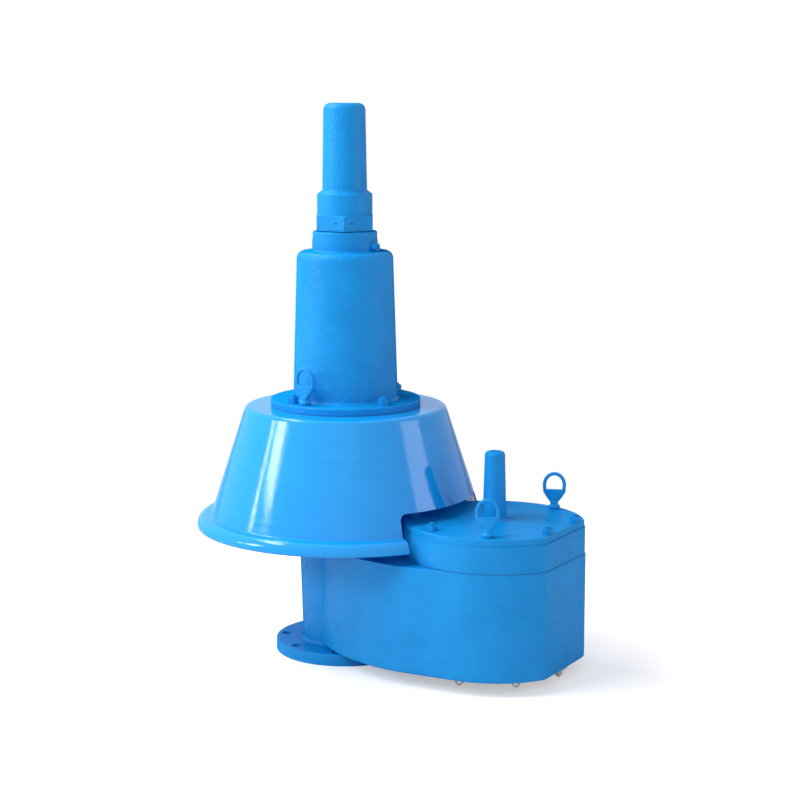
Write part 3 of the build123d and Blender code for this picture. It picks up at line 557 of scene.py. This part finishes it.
@dataclass
class EyeNut:
    """A drop-forged eye nut: an arch of round bar on a tapered web, over a neck and a foot.

    Radii and half widths run out from the nut's own axis, and heights up from its underside.
    """

    arch_radius: float = 18.3 * MM
    arch_rise: float = 20.9 * MM
    arch_height: float = 43 * MM
    bar: float = 3.3 * MM
    leg_lean: float = 1.2 * MM
    leg_rows: int = 8
    web_low: float = 11 * MM
    web_high: float = 34.5 * MM
    web_narrow: float = 7.4 * MM
    web_wide: float = 20.2 * MM
    web_thick: float = 5.2 * MM
    web_thin: float = 3.9 * MM
    web_flare: float = 1.1
    web_roundness: float = 0.6
    foot: float = 10.8 * MM
    foot_height: float = 5.2 * MM
    neck: float = 7.4 * MM
    bevel: float = 1 * MM
    rows: int = 49
    sides: int = 28
    voxel: float = 0.7 * MM
    smoothing: int = 6
    smoothing_strength: float = 0.5

    def arch(self) -> np.ndarray:
        """Half an oval of round bar on two legs that lean in and end inside the web.

        The oval is arch_radius times the cosine of the angle across and arch_rise times its
        sine up. The bar is a circle set square to the way ahead.

        Returns:
            Points by ring, side and axis: across the eye, through it and up.
        """
        angle = np.linspace(0, np.pi, self.rows - 2 * self.leg_rows)
        leg = np.linspace(0, 1, self.leg_rows, endpoint=False)
        leg_end = self.web_high - 2 * self.bar
        lean = self.arch_radius - self.leg_lean * (1 - leg)
        across = np.concatenate([lean, self.arch_radius * np.cos(angle), -lean[::-1]])
        rise = leg_end + (self.arch_height - leg_end) * leg
        up = np.concatenate([rise, self.arch_height + self.arch_rise * np.sin(angle),
                             rise[::-1]])
        ahead = np.gradient(np.column_stack([across, up]), axis=0)
        ahead /= np.linalg.norm(ahead, axis=1)[:, None]
        turn = np.arange(self.sides) * 2 * np.pi / self.sides
        outwards = self.bar * np.cos(turn)
        return np.stack([across[:, None] + ahead[:, 1:] * outwards,
                         np.broadcast_to(self.bar * np.sin(turn), (self.rows, self.sides)),
                         up[:, None] - ahead[:, :1] * outwards], axis=-1)

    def web(self) -> np.ndarray:
        """Flat web whose half width grows with the sine of its height, raised to web_flare.

        Its section is a box with round corners: the cosine and the sine of the turn, each
        raised to web_roundness.

        Returns:
            Points by ring, side and axis.
        """
        share = np.linspace(0, 1, self.rows)[:, None]
        turn = -np.arange(self.sides) * 2 * np.pi / self.sides
        flare = np.sin(share * np.pi / 2) ** self.web_flare
        half = self.web_narrow + (self.web_wide - self.web_narrow) * flare
        depth = self.web_thick + (self.web_thin - self.web_thick) * share
        cosine, sine = np.cos(turn), np.sin(turn)
        across = half * np.sign(cosine) * np.abs(cosine) ** self.web_roundness
        through = depth * np.sign(sine) * np.abs(sine) ** self.web_roundness
        up = self.web_low + (self.web_high - self.web_low) * share
        return np.stack([across, -through, np.broadcast_to(up, across.shape)], axis=-1)

    def stem(self) -> np.ndarray:
        """Round foot with bevelled edges, under a neck that runs up into the web.

        Returns:
            Points by ring, side and axis.
        """
        heights = [0, self.bevel, self.foot_height - self.bevel, self.foot_height,
                   self.foot_height + 2 * self.bevel, self.web_low + self.bevel]
        radii = [self.foot - self.bevel, self.foot, self.foot, self.foot - self.bevel,
                 self.neck, self.neck]
        up = np.linspace(0, heights[-1], self.rows)[:, None]
        radius = np.interp(up, heights, radii)
        turn = np.arange(self.sides) * 2 * np.pi / self.sides
        return np.stack([radius * np.cos(turn), radius * np.sin(turn),
                         np.broadcast_to(up, (self.rows, self.sides))], axis=-1)

    def forge(self, name: str, places: list[tuple[float, float, float]],
              height: float) -> bpy.types.Object:
        """Forges one piece that holds an eye nut at each place.

        Args:
            name: The piece's name.
            places: X, Y and the bearing in degrees that each eye faces.
            height: Z of their undersides.

        Returns:
            The piece.
        """
        parts = np.stack([self.arch(), self.web(), self.stem()])
        turned = []
        for x, y, bearing in places:
            turn = math.radians(bearing)
            across = np.array((-math.sin(turn), math.cos(turn), 0.0))
            through = np.array((math.cos(turn), math.sin(turn), 0.0))
            axes = np.stack([-across, through, np.array((0.0, 0.0, 1.0))])
            turned.append(parts @ axes + np.array((x, y, height)))
        piece = tubes(name, np.concatenate(turned))
        remesh = piece.modifiers.new("remesh", "REMESH")
        remesh.mode = "VOXEL"
        remesh.voxel_size = self.voxel
        remesh.use_smooth_shade = True
        smooth = piece.modifiers.new("smooth", "SMOOTH")
        smooth.factor = self.smoothing_strength
        smooth.iterations = self.smoothing
        return piece


# Sub-assemblies

@dataclass
class Assembly:
    """A group of CAD nodes that are made and finished together."""

    palette: Palette
    body: str = "valve"
    nodes: tuple[str, ...] = ()

    def build(self) -> None:
        """Dresses the nodes and adds the new pieces."""
        for node in self.nodes:
            self.palette.dress(node)
        for piece in self.pieces():
            LOG.info("%s has %d faces", piece.name, len(piece.data.polygons))
        LOG.info("%s is dressed", type(self).__name__)

    def pieces(self) -> list[bpy.types.Object]:
        """New pieces that replace CAD nodes; none unless a class has its own."""
        return []


@dataclass
class Housing(Assembly):
    """Cast body with the seat ring that the pressure valve closes on."""

    nodes: tuple[str, ...] = ("valve_body", "pressure_seat", "seat_screws")


@dataclass
class WeatherHood(Assembly):
    """Spun hood on four pillars."""

    nodes: tuple[str, ...] = ("hood", "hood_gasket", "hood_pillars")


@dataclass
class Bonnet(Assembly):
    """Spring casing with its cap, fasteners and lifting eyes."""

    nodes: tuple[str, ...] = ("bonnet", "cap", "cap_gasket", "bonnet_nuts", "bonnet_washers",
                              "neck_set_screw", "lifting_bolts", "lifting_eyes", "guide_plate",
                              "guide_screws", "spindle_bush")
    eye_circle: float = 118 * MM
    eye_bearings: tuple[float, ...] = (-97.0, 83.0)

    def pieces(self) -> list[bpy.types.Object]:
        """Forged lifting eyes, each facing away from the axis.

        Returns:
            The eyes, as one piece.
        """
        points = circle_points(self.eye_circle, np.array(self.eye_bearings))
        places = [(*point, bearing) for point, bearing in zip(points, self.eye_bearings)]
        eyes = EyeNut().forge("forged_lifting_eyes", places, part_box("lifting_eyes")[0].z)
        self.palette.hand_over(eyes, "lifting_eyes", self.body)
        return [eyes]


@dataclass
class LoadingGear(Assembly):
    """Spring, its upper plate and the adjusting screw."""

    nodes: tuple[str, ...] = ("spring", "upper_spring_plate", "adjusting_screw", "lock_nut")


@dataclass
class PressureValve(Assembly):
    """Pressure disc with its seal, spindle and lower spring plate."""

    body: str = "pressure_valve"
    nodes: tuple[str, ...] = ("pressure_disc", "pressure_seal", "pressure_retainer",
                              "pressure_disc_nut", "pressure_spindle", "lower_spring_plate")


@dataclass
class VacuumChamber(Assembly):
    """Cover over the vacuum valve, with its studs and lifting eyes."""

    nodes: tuple[str, ...] = ("vacuum_cover", "cover_gasket", "cover_nuts", "cover_washers",
                              "cover_eyes", "cover_studs", "vacuum_seat", "vacuum_bush")
    stud_circle: float = 144 * MM
    studs: int = 8
    first_stud: float = 22.5
    thread_length: float = 16 * MM
    eye_bearing: float = 292.5
    thread: Thread = field(default_factory=lambda: Thread(5 * MM, 1.5 * MM))

    def pieces(self) -> list[bpy.types.Object]:
        """Threaded studs and forged lifting eyes, which all face the same way.

        Returns:
            The studs and the eyes.
        """
        low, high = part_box("cover_studs")
        centre = (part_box("vacuum_seat")[0].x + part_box("vacuum_seat")[1].x) / 2
        bearings = self.first_stud + np.arange(self.studs) * 360 / self.studs
        places = circle_points(self.stud_circle, bearings, centre)
        stretches = [(low.z, low.z + self.thread_length), (high.z - self.thread_length, high.z)]
        rods = [self.thread.rod(place, stretches, self.thread.radius) for place in places]
        studs = tubes("threaded_cover_studs", np.stack(rods))
        self.palette.hand_over(studs, "cover_studs", self.body)
        points = circle_points(self.stud_circle, np.array((self.eye_bearing, -self.eye_bearing)),
                               centre)
        eyes = EyeNut().forge("forged_cover_eyes",
                              [(*point, self.eye_bearing) for point in points],
                              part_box("cover_eyes")[0].z)
        self.palette.hand_over(eyes, "cover_eyes", self.body)
        return [studs, eyes]


@dataclass
class VacuumValve(Assembly):
    """Vacuum disc with its seal and spindle."""

    body: str = "vacuum_valve"
    nodes: tuple[str, ...] = ("vacuum_disc", "vacuum_seal", "vacuum_retainer",
                              "vacuum_disc_nut", "vacuum_spindle")


@dataclass
class FlameScreen(Assembly):
    """Woven gauze in the air inlet, with the ring and studs that clamp it."""

    nodes: tuple[str, ...] = ("flame_screen", "screen_ring", "screen_studs", "screen_nuts",
                              "screen_washers")
    pitch: float = 3.4 * MM
    wire: float = 0.55 * MM
    wire_sides: int = 5
    rows_per_pitch: int = 2
    smooth_angle: float = 3.0
    stud_circle: float = 131 * MM
    studs: int = 8
    thread: Thread = field(default_factory=lambda: Thread(4 * MM, 1.25 * MM))

    def weave(self) -> bpy.types.Object:
        """Two crossed sets of wires, each passing over and under the other.

        A wire's height is its own radius times the cosine of the distance along it over the
        pitch, in half turns, so that it crests at each crossing. Each wire ends on the circle
        of the screen's edge.

        Returns:
            The gauze.
        """
        low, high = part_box("flame_screen")
        centre, reach = (low + high) / 2, (high.x - low.x) / 2 - self.wire
        across = np.arange(-reach + self.pitch / 2, reach, self.pitch)
        half = np.sqrt(reach**2 - across**2)
        rows = 2 * self.rows_per_pitch * int(reach / self.pitch) + 1
        along = np.linspace(-1, 1, rows) * half[:, None]
        turn = np.pi * (along / self.pitch + np.arange(across.size)[:, None])
        lift = self.wire * np.cos(turn)
        angle = np.arange(self.wire_sides) * 2 * np.pi / self.wire_sides
        shape = (across.size, rows, self.wire_sides)
        length = np.broadcast_to(along[:, :, None], shape)
        side = across[:, None, None] + np.broadcast_to(self.wire * np.cos(angle), shape)
        section = self.wire * np.sin(angle)
        warp = np.stack([length, side, lift[:, :, None] + section], axis=-1)
        weft = np.stack([-side, length, -lift[:, :, None] + section], axis=-1)
        return tubes("woven_gauze", np.concatenate([warp, weft]) + np.array(centre),
                     self.smooth_angle)

    def pieces(self) -> list[bpy.types.Object]:
        """Woven gauze and threaded studs.

        Returns:
            The gauze and the studs.
        """
        gauze = self.weave()
        self.palette.hand_over(gauze, "flame_screen", self.body)
        low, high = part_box("screen_studs")
        centre = (low.x + high.x) / 2
        bearings = np.arange(self.studs) * 360 / self.studs
        places = circle_points(self.stud_circle, bearings, centre)
        rods = [self.thread.rod(place, [(low.z, high.z)], self.thread.radius)
                for place in places]
        studs = tubes("threaded_screen_studs", np.stack(rods))
        self.palette.hand_over(studs, "screen_studs", self.body)
        return [gauze, studs]


# Studio

@dataclass
class Lamp:
    """A soft box that stands round the object and faces it.

    One that isn't mirrored lights the object without a reflection in its paint.
    """

    name: str
    azimuth: float
    elevation: float
    width: float
    height: float
    radiance: float
    colour: str = "#ffffff"
    mirrored: bool = True
    distance: float = 3.2

    def place(self, target: Vector) -> None:
        """Puts the lamp at its bearing and turns it to the target.

        Args:
            target: The point that it faces.
        """
        turn, rise = math.radians(self.azimuth), math.radians(self.elevation)
        away = Vector((math.cos(turn) * math.cos(rise), math.sin(turn) * math.cos(rise),
                       math.sin(rise)))
        data = bpy.data.lights.new(self.name, "AREA")
        data.shape = "RECTANGLE"
        data.size, data.size_y = self.width, self.height
        data.energy = self.radiance * math.pi * self.width * self.height
        data.color = linear(self.colour)[:3]
        lamp = bpy.data.objects.new(self.name, data)
        lamp.visible_glossy = self.mirrored
        bpy.context.scene.collection.objects.link(lamp)
        lamp.location = target + away * self.distance
        lamp.rotation_euler = (-away).to_track_quat("-Z", "Y").to_euler()


@dataclass
class Studio:
    """Camera, lamps, floor and background."""

    camera_at: tuple[float, float, float] = (1.8571, -3.0143, 1.0530)
    looks_at: tuple[float, float, float] = (0.0876, 0.0506, 0.4739)
    lens: float = 86.63
    sensor: float = 36.0
    nearest: float = 0.05
    farthest: float = 60.0
    paper_colour: str = "#e6e6e6"
    paper_roughness: float = 0.9
    floor_radius: float = 9.0
    floor_sides: int = 96
    floor_gap: float = 0.3 * MM
    floor_glow: float = 0.42
    fade_from: float = 0.75
    fade_to: float = 1.5
    ambient: float = 0.32

    def camera(self) -> None:
        """Sets the camera where the photograph was taken from."""
        data = bpy.data.cameras.new("camera")
        data.lens, data.sensor_width = self.lens, self.sensor
        data.clip_start, data.clip_end = self.nearest, self.farthest
        camera = bpy.data.objects.new("camera", data)
        bpy.context.scene.collection.objects.link(camera)
        camera.location = self.camera_at
        gaze = Vector(self.looks_at) - Vector(self.camera_at)
        camera.rotation_euler = gaze.to_track_quat("-Z", "Y").to_euler()
        bpy.context.scene.camera = camera

    def lamps(self) -> None:
        """Lights the object from the left and from behind, and fills in from front and right.

        The glossy hood mirrors the streak boxes on its cone and the back box under its crease.
        """
        for lamp in (
            Lamp("key_box", -120, 50, 1.7, 1.5, 7.6, mirrored=False),
            Lamp("streak_box", -134, 18.4, 0.6, 0.7, 17.0),
            Lamp("thin_streak_box", -145, 13, 0.12, 0.62, 19.0),
            Lamp("upper_streak_box", -127, 21.5, 0.07, 0.4, 12.0),
            Lamp("back_box", -168, 56, 2.2, 0.5, 11.0),
            Lamp("rim_box", -172, 42, 1.6, 1.8, 4.5, mirrored=False),
            Lamp("front_box", -65, 20, 1.8, 1.0, 3.3, mirrored=False),
            Lamp("far_box", 17, 16, 1.3, 1.5, 3.3, "#f3f0ff"),
        ):
            lamp.place(Vector(self.looks_at))

    def background(self) -> None:
        """White to the camera and in reflections, and a plain grey level as light."""
        world = bpy.data.worlds.new("studio")
        bpy.context.scene.world = world
        world.use_nodes = True
        tree = world.node_tree
        tree.nodes.clear()
        rays = add_node(tree, "LightPath").outputs
        seen = add_node(tree, "Math", {0: rays["Is Camera Ray"], 1: rays["Is Glossy Ray"]},
                        operation="MAXIMUM").outputs[0]
        seen = add_node(tree, "Math", {0: seen, 1: rays["Is Transmission Ray"]},
                        operation="MAXIMUM").outputs[0]
        level = add_node(tree, "MapRange", {"Value": seen, "To Min": self.ambient,
                                            "To Max": 1.0}).outputs[0]
        sky = add_node(tree, "Background", {"Color": (1, 1, 1, 1), "Strength": level})
        add_node(tree, "OutputWorld", {"Surface": sky.outputs[0]})

    def paper(self) -> bpy.types.Material:
        """Matt white paper, which the camera sees fade into the white background.

        Returns:
            The paper.
        """
        coating = Coating("matt_white_paper")
        tree = coating.tree
        coating.feed({"Base Color": linear(self.paper_colour),
                      "Roughness": self.paper_roughness})
        place = add_node(tree, "TexCoord").outputs["Object"]
        away = add_node(tree, "VectorMath", {0: place}, operation="LENGTH").outputs["Value"]
        far = add_node(tree, "MapRange", {"Value": away, "From Min": self.fade_from,
                                          "From Max": self.fade_to}).outputs[0]
        glow = add_node(tree, "Emission", {"Color": (1, 1, 1, 1), "Strength": self.floor_glow})
        lit = add_node(tree, "AddShader", {0: coating.shader.outputs[0], 1: glow.outputs[0]})
        white = add_node(tree, "Emission", {"Color": (1, 1, 1, 1), "Strength": 1.0})
        faded = add_node(tree, "MixShader", {0: far, 1: lit.outputs[0], 2: white.outputs[0]})
        camera_ray = add_node(tree, "LightPath").outputs["Is Camera Ray"]
        seen = add_node(tree, "MixShader", {0: camera_ray, 1: coating.shader.outputs[0],
                                            2: faded.outputs[0]})
        tree.links.new(seen.outputs[0], tree.nodes["Material Output"].inputs["Surface"])
        return coating.material

    def floor(self) -> None:
        """Lays a wide pale floor under the flange, which keeps the object's shadow."""
        rim = np.linspace(0, 2 * np.pi, self.floor_sides, endpoint=False)
        points = np.column_stack((self.floor_radius * np.cos(rim),
                                  self.floor_radius * np.sin(rim),
                                  np.full(rim.size, -self.floor_gap)))
        mesh = bpy.data.meshes.new("floor")
        mesh.from_pydata(points.tolist(), [], [list(range(rim.size))])
        mesh.materials.append(self.paper())
        add_object("floor", mesh)

    def build(self) -> None:
        """Sets up the whole studio."""
        self.camera()
        self.lamps()
        self.background()
        self.floor()
        bpy.context.scene.view_settings.view_transform = "Standard"


def main() -> None:
    """Builds the studio and every sub-assembly in order."""
    logging.basicConfig(level=logging.INFO, format="%(message)s")
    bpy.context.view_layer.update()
    Studio().build()
    palette = Palette()
    for kind in (Housing, WeatherHood, Bonnet, LoadingGear, PressureValve, VacuumChamber,
                 VacuumValve, FlameScreen):
        kind(palette).build()


if __name__ == "__main__":
    main()
